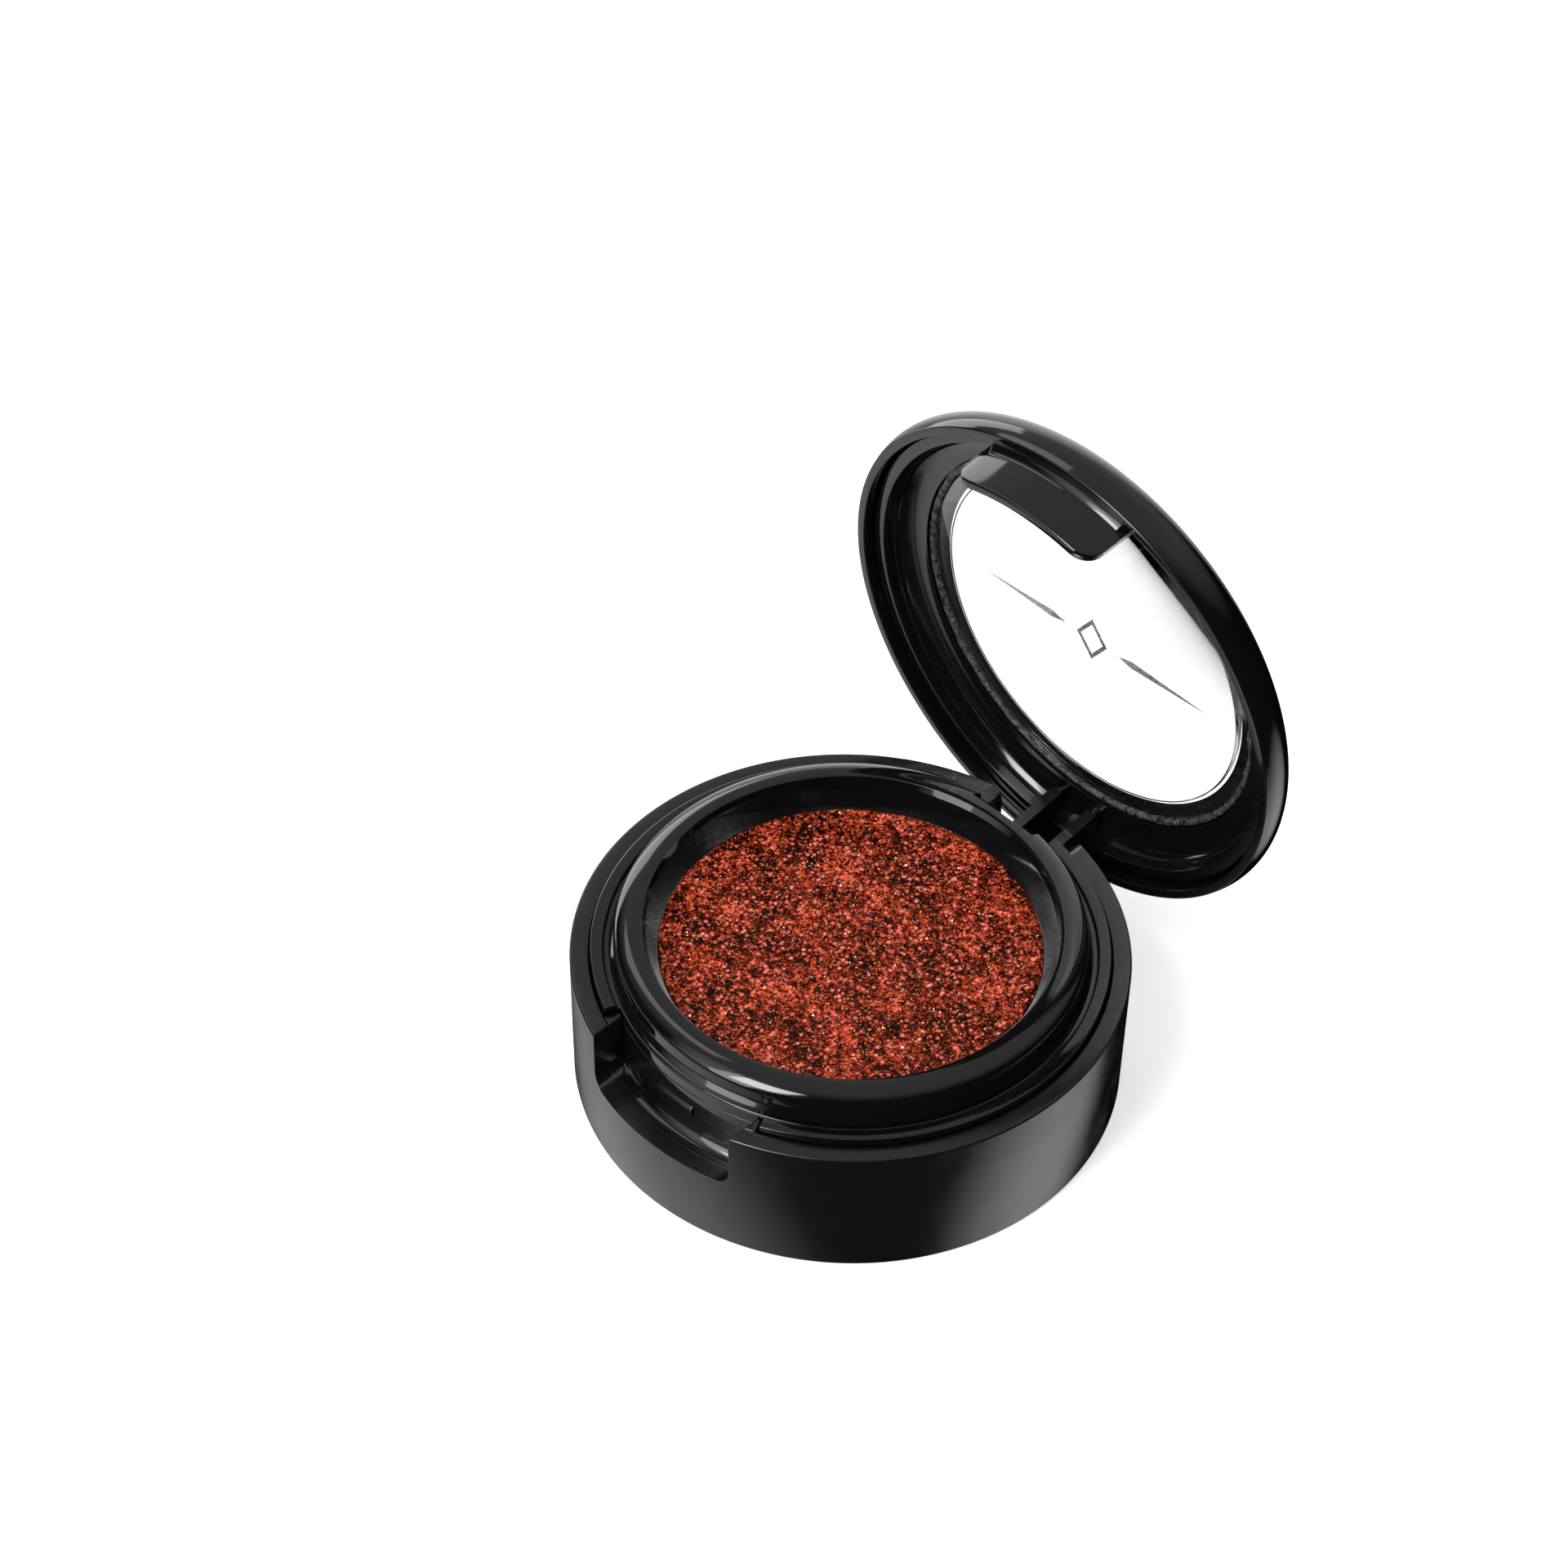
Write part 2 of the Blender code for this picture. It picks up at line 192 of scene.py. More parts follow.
def turned(name, outline):
    """Spins an outline about Z. One that starts off the axis is closed into a ring."""
    shape = bmesh.new()
    points = [shape.verts.new((radius, 0, height)) for radius, height in outline]
    for first, second in zip(points, points[1:]):
        shape.edges.new((first, second))
    if outline[0][0] > 0:
        shape.edges.new((points[-1], points[0]))
    bmesh.ops.spin(
        shape,
        geom=shape.verts[:] + shape.edges[:],
        cent=(0, 0, 0),
        axis=(0, 0, 1),
        angle=math.tau,
        steps=STEPS,
        use_merge=True,
    )
    return make_object(name, shape)


def bridge(shape, near, far):
    """Joins two rings of points with a belt of faces."""
    return [shape.faces.new((near[i - 1], near[i], far[i], far[i - 1])) for i in range(len(near))]


def lofted(name, rings, bevel=0.0, closed=False):
    """A solid through rings of points: capped, with its cap edges bevelled, or closed round to its start."""
    shape = bmesh.new()
    rows = [[shape.verts.new(point) for point in ring] for ring in rings]
    for near, far in zip(rows, rows[1:]):
        bridge(shape, near, far)
    if closed:
        bridge(shape, rows[-1], rows[0])
        return make_object(name, shape)
    caps = [shape.faces.new(rows[0]), shape.faces.new(rows[-1])]
    if bevel:
        edges = [edge for cap in caps for edge in cap.edges]
        bmesh.ops.bevel(shape, geom=edges, offset=bevel, segments=3, profile=0.5, affect="EDGES")
    return make_object(name, shape)


def around(section, angle):
    """A section stood up at a polar angle in degrees."""
    turn = math.radians(angle)
    return [(radius * math.cos(turn), radius * math.sin(turn), height) for radius, height in section]


def sector(name, section, half_angle, steps=48, bevel=0.0):
    """A section swept part of the way round, centred on the front."""
    angles = [FRONT + half_angle * (2 * step / steps - 1) for step in range(steps + 1)]
    return lofted(name, [around(section, angle) for angle in angles], bevel)


def slab_x(name, outline, start, end, bevel=0.0):
    """An outline of (y, z) extruded along X."""
    return lofted(name, [[(x, y, z) for y, z in outline] for x in (start, end)], bevel)


def slab_y(name, outline, start, end):
    """An outline of (x, z) extruded along Y."""
    return lofted(name, [[(x, y, z) for x, z in outline] for y in (start, end)])


def cut(piece, *cutters):
    """Cuts helper shapes out of a piece for good, and removes the helpers."""
    for cutter in cutters:
        modifier = piece.modifiers.new("cut", "BOOLEAN")
        modifier.operation = "DIFFERENCE"
        modifier.object = cutter
    bpy.context.view_layer.update()
    graph = bpy.context.evaluated_depsgraph_get()
    result = bpy.data.meshes.new_from_object(piece.evaluated_get(graph))
    piece.modifiers.clear()
    piece.data = result
    for cutter in cutters:
        bpy.data.objects.remove(cutter)
    smooth(piece)


def bore(piece, radius):
    """Bores the hinge pin's hole through a piece."""
    cut(piece, slab_x("pin_hole", circle((HINGE_Y, HINGE_Z), radius), -R, R))


def on_lid(outline):
    """Moves an outline measured up from the lid's rim to the closed lid's place."""
    return [(point[0], LID_RIM + point[1], *point[2:]) for point in outline]


def swing_open(piece):
    """Turns a piece drawn on the closed lid about the hinge to the open place."""
    hinge = Vector((0, HINGE_Y, HINGE_Z)) * MM
    turn = Matrix.Rotation(math.radians(-OPEN_ANGLE), 4, "X")
    piece.data.transform(Matrix.Translation(hinge) @ turn @ Matrix.Translation(-hinge))


# ---- Nodes ----


def node(tree, kind, inputs=None, **settings):
    """Adds a node. An input is given a value, or a socket to link from."""
    made = tree.nodes.new(kind)
    for setting, value in settings.items():
        setattr(made, setting, value)
    for key, value in (inputs or {}).items():
        if isinstance(value, bpy.types.NodeSocket):
            tree.links.new(value, made.inputs[key])
        else:
            made.inputs[key].default_value = value
    return made


def ramp(tree, factor, stops):
    """A colour ramp through (position, colour) stops."""
    made = node(tree, "ShaderNodeValToRGB", {"Fac": factor})
    elements = made.color_ramp.elements
    while len(elements) < len(stops):
        elements.new(0.5)
    for element, (position, colour) in zip(elements, stops):
        element.position = position
        element.color = (*colour, 1.0)
    return made.outputs["Color"]


def span(tree, value, low, high, start=0.0, end=1.0):
    """Maps a value from start-end to low-high."""
    inputs = {"Value": value, "From Min": start, "From Max": end, "To Min": low, "To Max": high}
    return node(tree, "ShaderNodeMapRange", inputs).outputs["Result"]


def noise_value(tree, size, detail=2.0):
    """Noise whose features are about this many millimetres across."""
    place = node(tree, "ShaderNodeTexCoord").outputs["Object"]
    inputs = {"Vector": place, "Scale": 1 / (size * MM), "Detail": detail}
    return node(tree, "ShaderNodeTexNoise", inputs).outputs["Fac"]


def cells(tree, size):
    """Random cells about this many millimetres across."""
    place = node(tree, "ShaderNodeTexCoord").outputs["Object"]
    return node(tree, "ShaderNodeTexVoronoi", {"Vector": place, "Scale": 1 / (size * MM)})


def split(tree, colour):
    """The red, green and blue of a colour."""
    return node(tree, "ShaderNodeSeparateColor", {"Color": colour}).outputs


def maths(tree, operation, first, second):
    """One step of arithmetic."""
    return node(tree, "ShaderNodeMath", {0: first, 1: second}, operation=operation).outputs[0]


def added(tree, *values):
    """Adds up values."""
    total = values[0]
    for value in values[1:]:
        total = maths(tree, "ADD", total, value)
    return total


def mixed_values(tree, factor, first, second):
    """Blends two numbers: the Mix node's inputs 2 and 3."""
    inputs = {"Factor": factor, 2: first, 3: second}
    return node(tree, "ShaderNodeMix", inputs, data_type="FLOAT").outputs[0]


def mixed_colours(tree, factor, first, second):
    """Blends a colour socket with another one or with a colour: the Mix node's inputs 6 and 7."""
    second = second if isinstance(second, bpy.types.NodeSocket) else (*second, 1.0)
    inputs = {"Factor": factor, 6: first, 7: second}
    return node(tree, "ShaderNodeMix", inputs, data_type="RGBA").outputs[2]


def bumped(tree, height, distance, strength, normal=None):
    """A normal tilted by a height map that is this many millimetres deep."""
    inputs = {"Height": height, "Distance": distance * MM, "Strength": strength}
    if normal is not None:
        inputs["Normal"] = normal
    return node(tree, "ShaderNodeBump", inputs).outputs["Normal"]


def spots(tree, size, share, reach):
    """A mask of soft dots in a random share of cells. Reach is a dot's radius as a part of its cell."""
    field = cells(tree, size)
    chosen = maths(tree, "GREATER_THAN", split(tree, field.outputs["Color"])[0], 1 - share)
    dot = span(tree, field.outputs["Distance"], 1.0, 0.0, start=reach * 0.5, end=reach)
    return maths(tree, "MULTIPLY", chosen, dot)


def tilted_normal(tree, colour, amount):
    """A surface normal thrown off by a random colour, so that each grain faces its own way."""
    centred = node(tree, "ShaderNodeVectorMath", {0: colour, 1: (0.5, 0.5, 0.5)}, operation="SUBTRACT")
    scaled = node(tree, "ShaderNodeVectorMath", {0: centred.outputs[0], "Scale": amount}, operation="SCALE")
    normal = node(tree, "ShaderNodeNewGeometry").outputs["Normal"]
    tilted = node(tree, "ShaderNodeVectorMath", {0: scaled.outputs[0], 1: normal}, operation="ADD")
    return node(tree, "ShaderNodeVectorMath", {0: tilted.outputs[0]}, operation="NORMALIZE").outputs[0]


# ---- Materials ----


def new_material(name):
    """A material with its node tree and its shader."""
    material = bpy.data.materials.new(name)
    material.use_nodes = True
    return material, material.node_tree, material.node_tree.nodes["Principled BSDF"]


def plug(tree, shader, **sockets):
    """Links sockets to the shader's inputs, with underscores for spaces."""
    for key, socket in sockets.items():
        tree.links.new(socket, shader.inputs[key.replace("_", " ")])


def plastic(name, shade, roughness):
    """Moulded black plastic: faint flow marks, uneven gloss, fine wipe marks and a few dust specks."""
    edge_radius = 0.05
    dust_colour = (0.2, 0.2, 0.21)
    material, tree, shader = new_material(name)
    shader.inputs["IOR"].default_value = 1.5
    flow = noise_value(tree, size=6.0, detail=3.0)
    body = ramp(tree, flow, [(0.3, [shade * 0.85] * 3), (0.7, [shade, shade, shade * 1.06])])
    dust = span(tree, cells(tree, size=1.3).outputs["Distance"], 0.35, 0.0, start=0.0, end=0.025)
    colour = mixed_colours(tree, dust, body, dust_colour)
    smear = noise_value(tree, size=2.5, detail=6.0)
    gloss = span(tree, smear, roughness * 0.75, roughness * 1.3, start=0.3, end=0.7)
    soft_edge = node(tree, "ShaderNodeBevel", {"Radius": edge_radius * MM}, samples=4).outputs["Normal"]
    grain = noise_value(tree, size=0.35, detail=4.0)
    bump = bumped(tree, grain, distance=0.0008, strength=0.6, normal=soft_edge)
    plug(tree, shader, Base_Color=colour, Roughness=gloss, Normal=bump)
    return material


def powder_material():
    """Pressed powder: dark brown-red grains with coral clumps and gold specks, with painted glints as tiny
    pale dots and painted shade in its hollows.
    """
    browns = [
        (0.0, (0.003, 0.0003, 0.0001)),
        (0.3, (0.035, 0.003, 0.0007)),
        (0.55, (0.21, 0.020, 0.005)),
        (0.8, (0.52, 0.055, 0.018)),
        (1.0, (0.92, 0.15, 0.07)),
    ]
    corals = [(0.35, (0.5, 0.04, 0.025)), (0.65, (1.0, 0.26, 0.19))]
    gold = (0.75, 0.28, 0.07)
    glint_white = (1.0, 0.93, 0.9)
    material, tree, shader = new_material("pressed_powder")
    shader.inputs["Metallic"].default_value = 0.25
    shader.inputs["Specular IOR Level"].default_value = 0.05
    grains = cells(tree, size=0.11).outputs["Color"]
    pick = split(tree, grains)
    patches = noise_value(tree, size=2.6, detail=5.0)
    clumps = noise_value(tree, size=0.5, detail=3.0)
    grain_level = span(tree, pick[0], -0.08, 0.88)
    patch_level = span(tree, patches, -0.28, 0.2, start=0.3, end=0.7)
    # Lighter on the bump's raised clumps and darker in its hollows: painted shade, on top of the powder's own
    # tone.
    clump_shade_level = span(tree, clumps, -0.32, 0.33, start=0.3, end=0.7)
    colour = ramp(tree, added(tree, grain_level, patch_level, clump_shade_level), browns)
    colour = mixed_colours(tree, spots(tree, size=0.16, share=0.12, reach=0.45), colour, gold)
    # The coral is also lighter on raised clumps: its own colour, with painted shade in the hollows.
    coral = ramp(tree, clumps, corals)
    colour = mixed_colours(tree, spots(tree, size=0.36, share=0.34, reach=0.5), colour, coral)
    # Pale dots in the colour: painted sparkle glints.
    colour = mixed_colours(tree, spots(tree, size=0.3, share=0.04, reach=0.2), colour, glint_white)
    gloss = span(tree, pick[2], 0.3, 0.7)
    tilted = tilted_normal(tree, grains, amount=0.9)
    bump = bumped(tree, clumps, distance=0.12, strength=0.8, normal=tilted)
    plug(tree, shader, Base_Color=colour, Roughness=gloss, Normal=bump)
    return material


def flake_material(name, dark, light):
    """A metallic flake whose colour drifts from one flake to the next."""
    material, tree, shader = new_material(name)
    shader.inputs["Metallic"].default_value = 0.9
    pick = split(tree, cells(tree, size=0.3).outputs["Color"])
    colour = ramp(tree, pick[0], [(0.0, dark), (1.0, light)])
    gloss = span(tree, pick[1], 0.2, 0.5)
    plug(tree, shader, Base_Color=colour, Roughness=gloss)
    return material


def clear_material():
    """Clear moulded plastic with faint haze, which lets the lamps' light through."""
    material, tree, shader = new_material("clear_plastic")
    shader.inputs["IOR"].default_value = 1.49
    shader.inputs["Transmission Weight"].default_value = 1.0
    shader.inputs["Base Color"].default_value = (1.0, 1.0, 1.0, 1.0)
    haze = span(tree, noise_value(tree, size=3.0, detail=5.0), 0.0, 0.02, start=0.35, end=0.7)
    bump = bumped(tree, noise_value(tree, size=1.2), distance=0.002, strength=0.2)
    plug(tree, shader, Roughness=haze, Normal=bump)
    see_through = node(tree, "ShaderNodeBsdfTransparent", {"Color": (0.93, 0.94, 0.95, 1.0)})
    lamp = node(tree, "ShaderNodeLightPath").outputs["Is Shadow Ray"]
    inputs = {0: lamp, 1: shader.outputs[0], 2: see_through.outputs[0]}
    surface = node(tree, "ShaderNodeMixShader", inputs).outputs[0]
    tree.links.new(surface, tree.nodes["Material Output"].inputs["Surface"])
    return material


def glue_material(name, dark, light, roughness):
    """Dried glue: uneven, blistered and partly shiny."""
    material, tree, shader = new_material(name)
    shader.inputs["IOR"].default_value = 1.48
    blots = noise_value(tree, size=0.5, detail=4.0)
    colour = ramp(tree, blots, [(0.35, dark), (0.7, light)])
    smear = noise_value(tree, size=0.25, detail=2.0)
    gloss = span(tree, smear, roughness * 0.4, roughness * 1.4, start=0.3, end=0.7)
    bump = bumped(tree, noise_value(tree, size=0.18, detail=4.0), distance=0.12, strength=1.0)
    plug(tree, shader, Base_Color=colour, Roughness=gloss, Normal=bump)
    return material


def metal(name, dark, light, roughness):
    """Plain sheet or drawn metal with fine uneven gloss."""
    material, tree, shader = new_material(name)
    shader.inputs["Metallic"].default_value = 1.0
    colour = ramp(tree, noise_value(tree, size=0.8, detail=5.0), [(0.3, dark), (0.7, light)])
    smear = noise_value(tree, size=0.2, detail=4.0)
    gloss = span(tree, smear, roughness * 0.7, roughness * 1.4, start=0.3, end=0.7)
    bump = bumped(tree, noise_value(tree, size=0.1, detail=3.0), distance=0.01, strength=0.5)
    plug(tree, shader, Base_Color=colour, Roughness=gloss, Normal=bump)
    return material


# ---- Pieces of the base ----


def rim_cutter(name, side, start, end):
    """A cutter down through the rim, from the outline of its right side as (x, z) points, foot first."""
    above_rim = H + 1.4
    right = [*side, (side[-1][0], above_rim)]
    left = [(-x, z) for x, z in reversed(right)]
    return slab_y(name, right + left, start, end)


def notch_cutter():
    """The space of the thumb notch, rounded at its foot and eased where its walls meet the rim."""
    corner = 1.1
    ease = 0.2
    side = [
        *arc((NOTCH_X - corner, NOTCH_FLOOR + corner), (corner, corner), 270, 360),
        *arc((NOTCH_X + ease, H - ease), (ease, ease), 180, 95, steps=6),
    ]
    return rim_cutter("notch_cutter", side, start=-R - 1.5, end=5.0 - R)


def slot_cutter():
    """The slot in the rear wall for the lid's arms, flared at the rim."""
    sill = 5.4
    half_width = 3.4
    flare = 1.25
    side = [(half_width, sill), *arc((half_width + flare, H - flare), (flare, flare), 180, 95)]
    return rim_cutter("slot_cutter", side, start=R - 2.0, end=R + 1.5)


def build_shell():
    """The round cup, slightly narrower at its foot, with the notch and the slot cut out."""
    inner = R - 1.3
    floor = 1.2
    taper = 0.17
    corners = [
        (0, floor, 0),
        (inner, floor, 0.3),
        (inner, H, 0.1),
        (R, H, 0.16),
        (R - taper, 0, 0.3),
        (0, 0, 0),
    ]
    shell = turned("case_shell", rounded(corners))
    cut(shell, notch_cutter(), slot_cutter())
    return shell


def build_shelf():
    """Closes the gap between the case's wall and the insert, under the notch and beside it."""
    low = (R - 2.45, NOTCH_FLOOR - 1.0)
    high = (R - 1.31, H - 0.03)
    shelf = sector("notch_shelf", rounded(rectangle(low, high), radius=0.1), half_angle=23.8, bevel=0.08)
    cut(shelf, notch_cutter())
    return shelf


def build_notch_fillet():
    """The hollow curve where the notch's floor turns up into the insert's wall."""
    foot = R - 2.55
    radius = 0.8
    under = NOTCH_FLOOR - 0.1
    curve = arc((foot + radius, NOTCH_FLOOR + radius), (radius, radius), 270, 180, steps=10)
    section = [(foot, under), (foot + radius, under), *curve]
    return sector("notch_fillet", section, half_angle=22.4)


def build_ears():
    """The two ears inside the case that hold the hinge pin."""
    foot = 1.1
    top = arc((HINGE_Y, HINGE_Z), (HUB_R, HUB_R), 180, 0, steps=24)
    outline = [(HINGE_Y - HUB_R, foot), *top, (HINGE_Y + HUB_R, foot)]
    ears = []
    for side, sign in SIDES:
        ear = slab_x("hinge_ear_" + side, outline, sign * EAR_X[0], sign * EAR_X[1], bevel=0.08)
        bore(ear, EAR_BORE_R)
        ears.append(ear)
    return ears


def insert_outline():
    """Half the insert's section: well, crowned lip, groove, ledge ring, and the skirt below them."""
    seat = 7.3
    under_seat = seat - 1.0
    bowl = POWDER_R + 0.05
    lip_top = H + 2.6
    lip_out = R - 2.7
    dome = 1.9
    dome_centre = (lip_out - 1.75, lip_top - dome)
    edge = 0.6
    turn = 50  # where the crown's curve tightens, in degrees above the horizontal
    reach = dome - edge
    edge_centre = (
        dome_centre[0] + reach * math.cos(math.radians(turn)),
        dome_centre[1] + reach * math.sin(math.radians(turn)),
    )
    groove = H + 0.15
    ring_in = R - 2.3
    ring_out = R - 1.4
    ring_top = H + 0.5
    ring_foot = H - 0.6
    skirt_out = R - 2.5
    skirt_in = R - 3.3
    skirt_foot = 1.4
    skirt_top = H + 1.5
    well_out = R - 3.8
    return [
        (0, seat, 0),
        (bowl, seat, 0.1),
        (bowl, H + 0.3, 0.4),
        (dome_centre[0] - 0.7, lip_top - 0.42, 0.45),
        *kept_arc(dome_centre, (dome, dome), 104, turn, steps=14),
        *kept_arc(edge_centre, (edge, edge), turn - 6, 4, steps=8),
        (edge_centre[0] + edge, H + 0.95, 0.3),
        (lip_out, H + 0.6, 0.15),
        (lip_out, groove, 0.12),
        (ring_in, groove, 0.06),
        (ring_in, ring_top, 0.14),
        (ring_out, ring_top, 0.12),
        (ring_out, ring_foot, 0.1),
        (skirt_out, ring_foot, 0.1),
        (skirt_out, skirt_foot, 0.1),
        (skirt_in, skirt_foot, 0.1),
        (skirt_in, skirt_top, 0.1),
        (well_out, skirt_top, 0.1),
        (well_out, under_seat, 0.1),
        (0, under_seat, 0),
    ]


def build_insert():
    """The insert, with its ring cut away for the tab, and room behind for the ears and the lid's arms."""
    ear_half = EAR_X[1] + 0.3
    arm_half = ARM_X[1] + 0.75
    tab_room = rectangle((R - 2.54, H - 0.7), (R - 0.5, H + 0.7))
    ear_room = rectangle((HINGE_Y - 2.2, 0), (R, HINGE_Z + 1.6))
    arm_room = rectangle((HINGE_Y - 1.95, 1.2), (R, H + 3.4))
    insert = turned("insert", rounded(insert_outline()))
    cut(
        insert,
        sector("ring_cut", tab_room, half_angle=24.6, steps=49),  # odd, to keep off the insert's own corners
        slab_x("ear_cut", ear_room, -ear_half, ear_half),
        slab_x("arm_cut", arm_room, -arm_half, arm_half),
    )
    return insert


def build_catch_rib():
    """The rib on the insert's wall that holds the tab's bead from above."""
    root = R - 2.8
    crest = R - 2.3
    foot = 7.7
    section = [
        (root, foot),
        (crest - 0.08, foot + 0.15),
        (crest, foot + 0.4),
        (crest, foot + 0.9),
        (root, foot + 1.25),
    ]
    return sector("catch_rib", rounded(section, radius=0.08), half_angle=5.5, steps=24, bevel=0.06)


def grain_height(x, y):
    """Relief of the pressed powder, in millimetres up from its top."""
    height = -0.06
    for size, rise, layer in ((1.6, 0.015, 0.0), (0.42, 0.025, 7.0), (0.17, 0.02, 19.0)):
        height += rise * noise.noise(Vector((x, y, layer)) / size)
    return height


def build_powder():
    """A disc with a fine grid on top, so that its grains stand out in the mesh itself."""
    rings = 110
    spokes = 540
    shoulder = 0.4
    steepness = 0.9
    brim = POWDER_TOP - 0.5
    inner = POWDER_R - 0.5
    foot = 8.15
    turns = [math.tau * spoke / spokes for spoke in range(spokes)]
    rows = []
    for ring in range(1, rings + 1):
        radius = POWDER_R * ring / rings
        drop = max(0.0, radius - (POWDER_R - shoulder)) ** 2 * steepness
        row = []
        for turn in turns:
            x = radius * math.cos(turn)
            y = radius * math.sin(turn)
            row.append((x, y, POWDER_TOP + grain_height(x, y) - drop))
        rows.append(row)
    for radius, height in ((POWDER_R, brim), (inner, brim), (inner, foot)):
        rows.append([(radius * math.cos(turn), radius * math.sin(turn), height) for turn in turns])
    return lofted("powder_cake", rows)


def build_flakes():
    """Thin six-sided plates lying in the powder at all tilts. The material number picks the flake's metal."""
    count = 2600
    thickness = 0.014
    margin = 0.25
    steepest = 0.75
    draw = random.Random(11)
    shares = [share for _, share, _, _ in FLAKES]
    corner_turns = [math.tau * k / 6 for k in range(6)]
    shape = bmesh.new()
    for _ in range(count):
        radius = (POWDER_R - margin) * math.sqrt(draw.random())
        turn = draw.uniform(0, math.tau)
        x = radius * math.cos(turn)
        y = radius * math.sin(turn)
        size = draw.uniform(0.035, 0.085)
        centre = Vector((x, y, POWDER_TOP + grain_height(x, y) + size * 0.12))
        tilt = Matrix.Rotation(draw.uniform(0, steepest), 3, "X")
        spin = Matrix.Rotation(draw.uniform(0, math.tau), 3, "Z")
        kind = draw.choices(range(len(shares)), shares)[0]
        rows = []
        for height in (-thickness / 2, thickness / 2):
            corners = [Vector((size * math.cos(k), size * math.sin(k), height)) for k in corner_turns]
            rows.append([shape.verts.new(spin @ tilt @ corner + centre) for corner in corners])
        for face in (shape.faces.new(rows[0]), shape.faces.new(rows[1]), *bridge(shape, *rows)):
            face.material_index = kind
    return make_object("glitter_flakes", shape)


# ---- Pieces of the lid ----


def build_bezel():
    """The lid's bulged ring, with a flat rim and a rebate for the window."""
    rim_in = R - 0.9
    rebate = WINDOW_R + 0.2
    rebate_foot = LID_HEIGHT - 0.45
    corners = [
        (rim_in, 0, 0.1),
        (R - 0.25, 0, 0.1),
        *kept_arc((R - 4.2, 1.06), (4.16, 3.24), -16, 108, steps=40),
        (rebate, LID_HEIGHT - 0.35, 0.1),
        (rebate, rebate_foot, 0.03),
        (WINDOW_R + 1.4, rebate_foot, 0.05),
        (WINDOW_R + 1.55, 3.6, 0.05),
        (R - 2.9, 3.35, 0.3),
        (R - 1.7, 2.75, 0.3),
        (R - 1.0, 1.7, 0.2),
        (rim_in, 1.3, 0.05),
    ]
    return turned("lid_bezel", rounded(on_lid(corners)))


def build_lining():
    """The lining inside the lid: a flat step, then a hollow curve up to the window."""
    step = 0.85
    bore_r = R - 2.0
    outer = R - 1.1
    throat = R - 4.1
    corners = [
        (bore_r, step, 0.1),
        (outer, step, 0.08),
        (outer, 1.25, 0.05),
        (R - 1.9, 2.6, 0.3),
        (throat, 3.3, 0.05),
        *kept_arc((throat, 1.5), (bore_r - throat, 1.45), 90, 0, steps=16),
    ]
    return turned("lid_lining", rounded(on_lid(corners)))


def build_tab():
    """The curved tab, with rounded free corners. The hollow at its root fades out towards both ends."""
    outer = R - 1.35
    root = R - 1.15
    root_top = 1.2
    hollow = 0.75
    least_hollow = 0.05
    fade = 0.4  # millimetres of hollow for each degree from the end
    half_angle = 20.2
    corner = 1.6
    drop = 3.7
    steps = 96
    rings = []
    for step in range(steps + 1):
        angle = half_angle * math.sin(math.pi * (step / steps - 0.5))
        from_end = half_angle - abs(angle)
        inset = max(0.0, corner - outer * math.radians(from_end))
        edge = corner - drop - math.sqrt(corner**2 - inset**2)
        curve = max(least_hollow, min(hollow, from_end * fade))
        section = [
            (TAB_FACE, root_top, 0.1),
            (TAB_FACE, edge, 0.12),
            (outer, edge, 0.16),
            *kept_arc((outer + curve, -curve), (curve, curve), 180, 90, steps=8),
            (outer + curve, 0.3, 0),
            (root, 0.3, 0),
            (root, root_top, 0.1),
        ]
        rings.append(around(rounded(on_lid(section)), FRONT + angle))
    return lofted("lid_tab", rings)


def build_bead():
    """The bead on the tab's inner face that sits under the catch rib."""
    back = TAB_FACE + 0.3
    crest = TAB_FACE - 0.09
    section = [(TAB_FACE, -3.6), (back, -3.6), (back, -3.1), (TAB_FACE, -3.1), (crest, -3.35)]
    outline = rounded(on_lid(section), radius=0.06)
    return sector("tab_bead", outline, half_angle=6.5, steps=24, bevel=0.05)


def build_arms():
    """The two hinge arms, each with a hub and a round boss. Their tops follow the inside of the lid."""
    rear = R - 3.95
    outline = [
        *kept_arc((HINGE_Y, HINGE_Z), (HUB_R, HUB_R), 180, 360, steps=24),
        *on_lid([
            (R - 1.25, 0.9, 0.5),
            (R - 1.4, 1.45, 0.3),
            (R - 2.0, 2.25, 0.3),
            (R - 3.0, 2.95, 0.3),
            (rear, 3.15, 0.1),
            (rear, 2.05, 0.5),
        ]),
    ]
    boss = circle((HINGE_Y, HINGE_Z), 1.0)
    boss_x = (ARM_X[1] - 0.4, ARM_X[1] + 0.15)
    pieces = []
    for side, sign in SIDES:
        arm = slab_x("hinge_arm_" + side, rounded(outline), sign * ARM_X[0], sign * ARM_X[1], bevel=0.07)
        hub = slab_x("hinge_boss_" + side, boss, sign * boss_x[0], sign * boss_x[1], bevel=0.04)
        for piece in (arm, hub):
            bore(piece, ARM_BORE_R)
            pieces.append(piece)
    return pieces


def build_window():
    """The clear window: a flange under the bezel and a raised middle."""
    flange_r = R - 4.7
    flange_foot = 3.3
    flange_top = 3.65
    corners = [
        (0, flange_foot, 0),
        (flange_r, flange_foot, 0.05),
        (flange_r, flange_top, 0.05),
        (WINDOW_R, flange_top, 0.04),
        (WINDOW_R, WINDOW_TOP, 0.12),
        (0, WINDOW_TOP, 0),
    ]
    return turned("window_pane", rounded(on_lid(corners)))


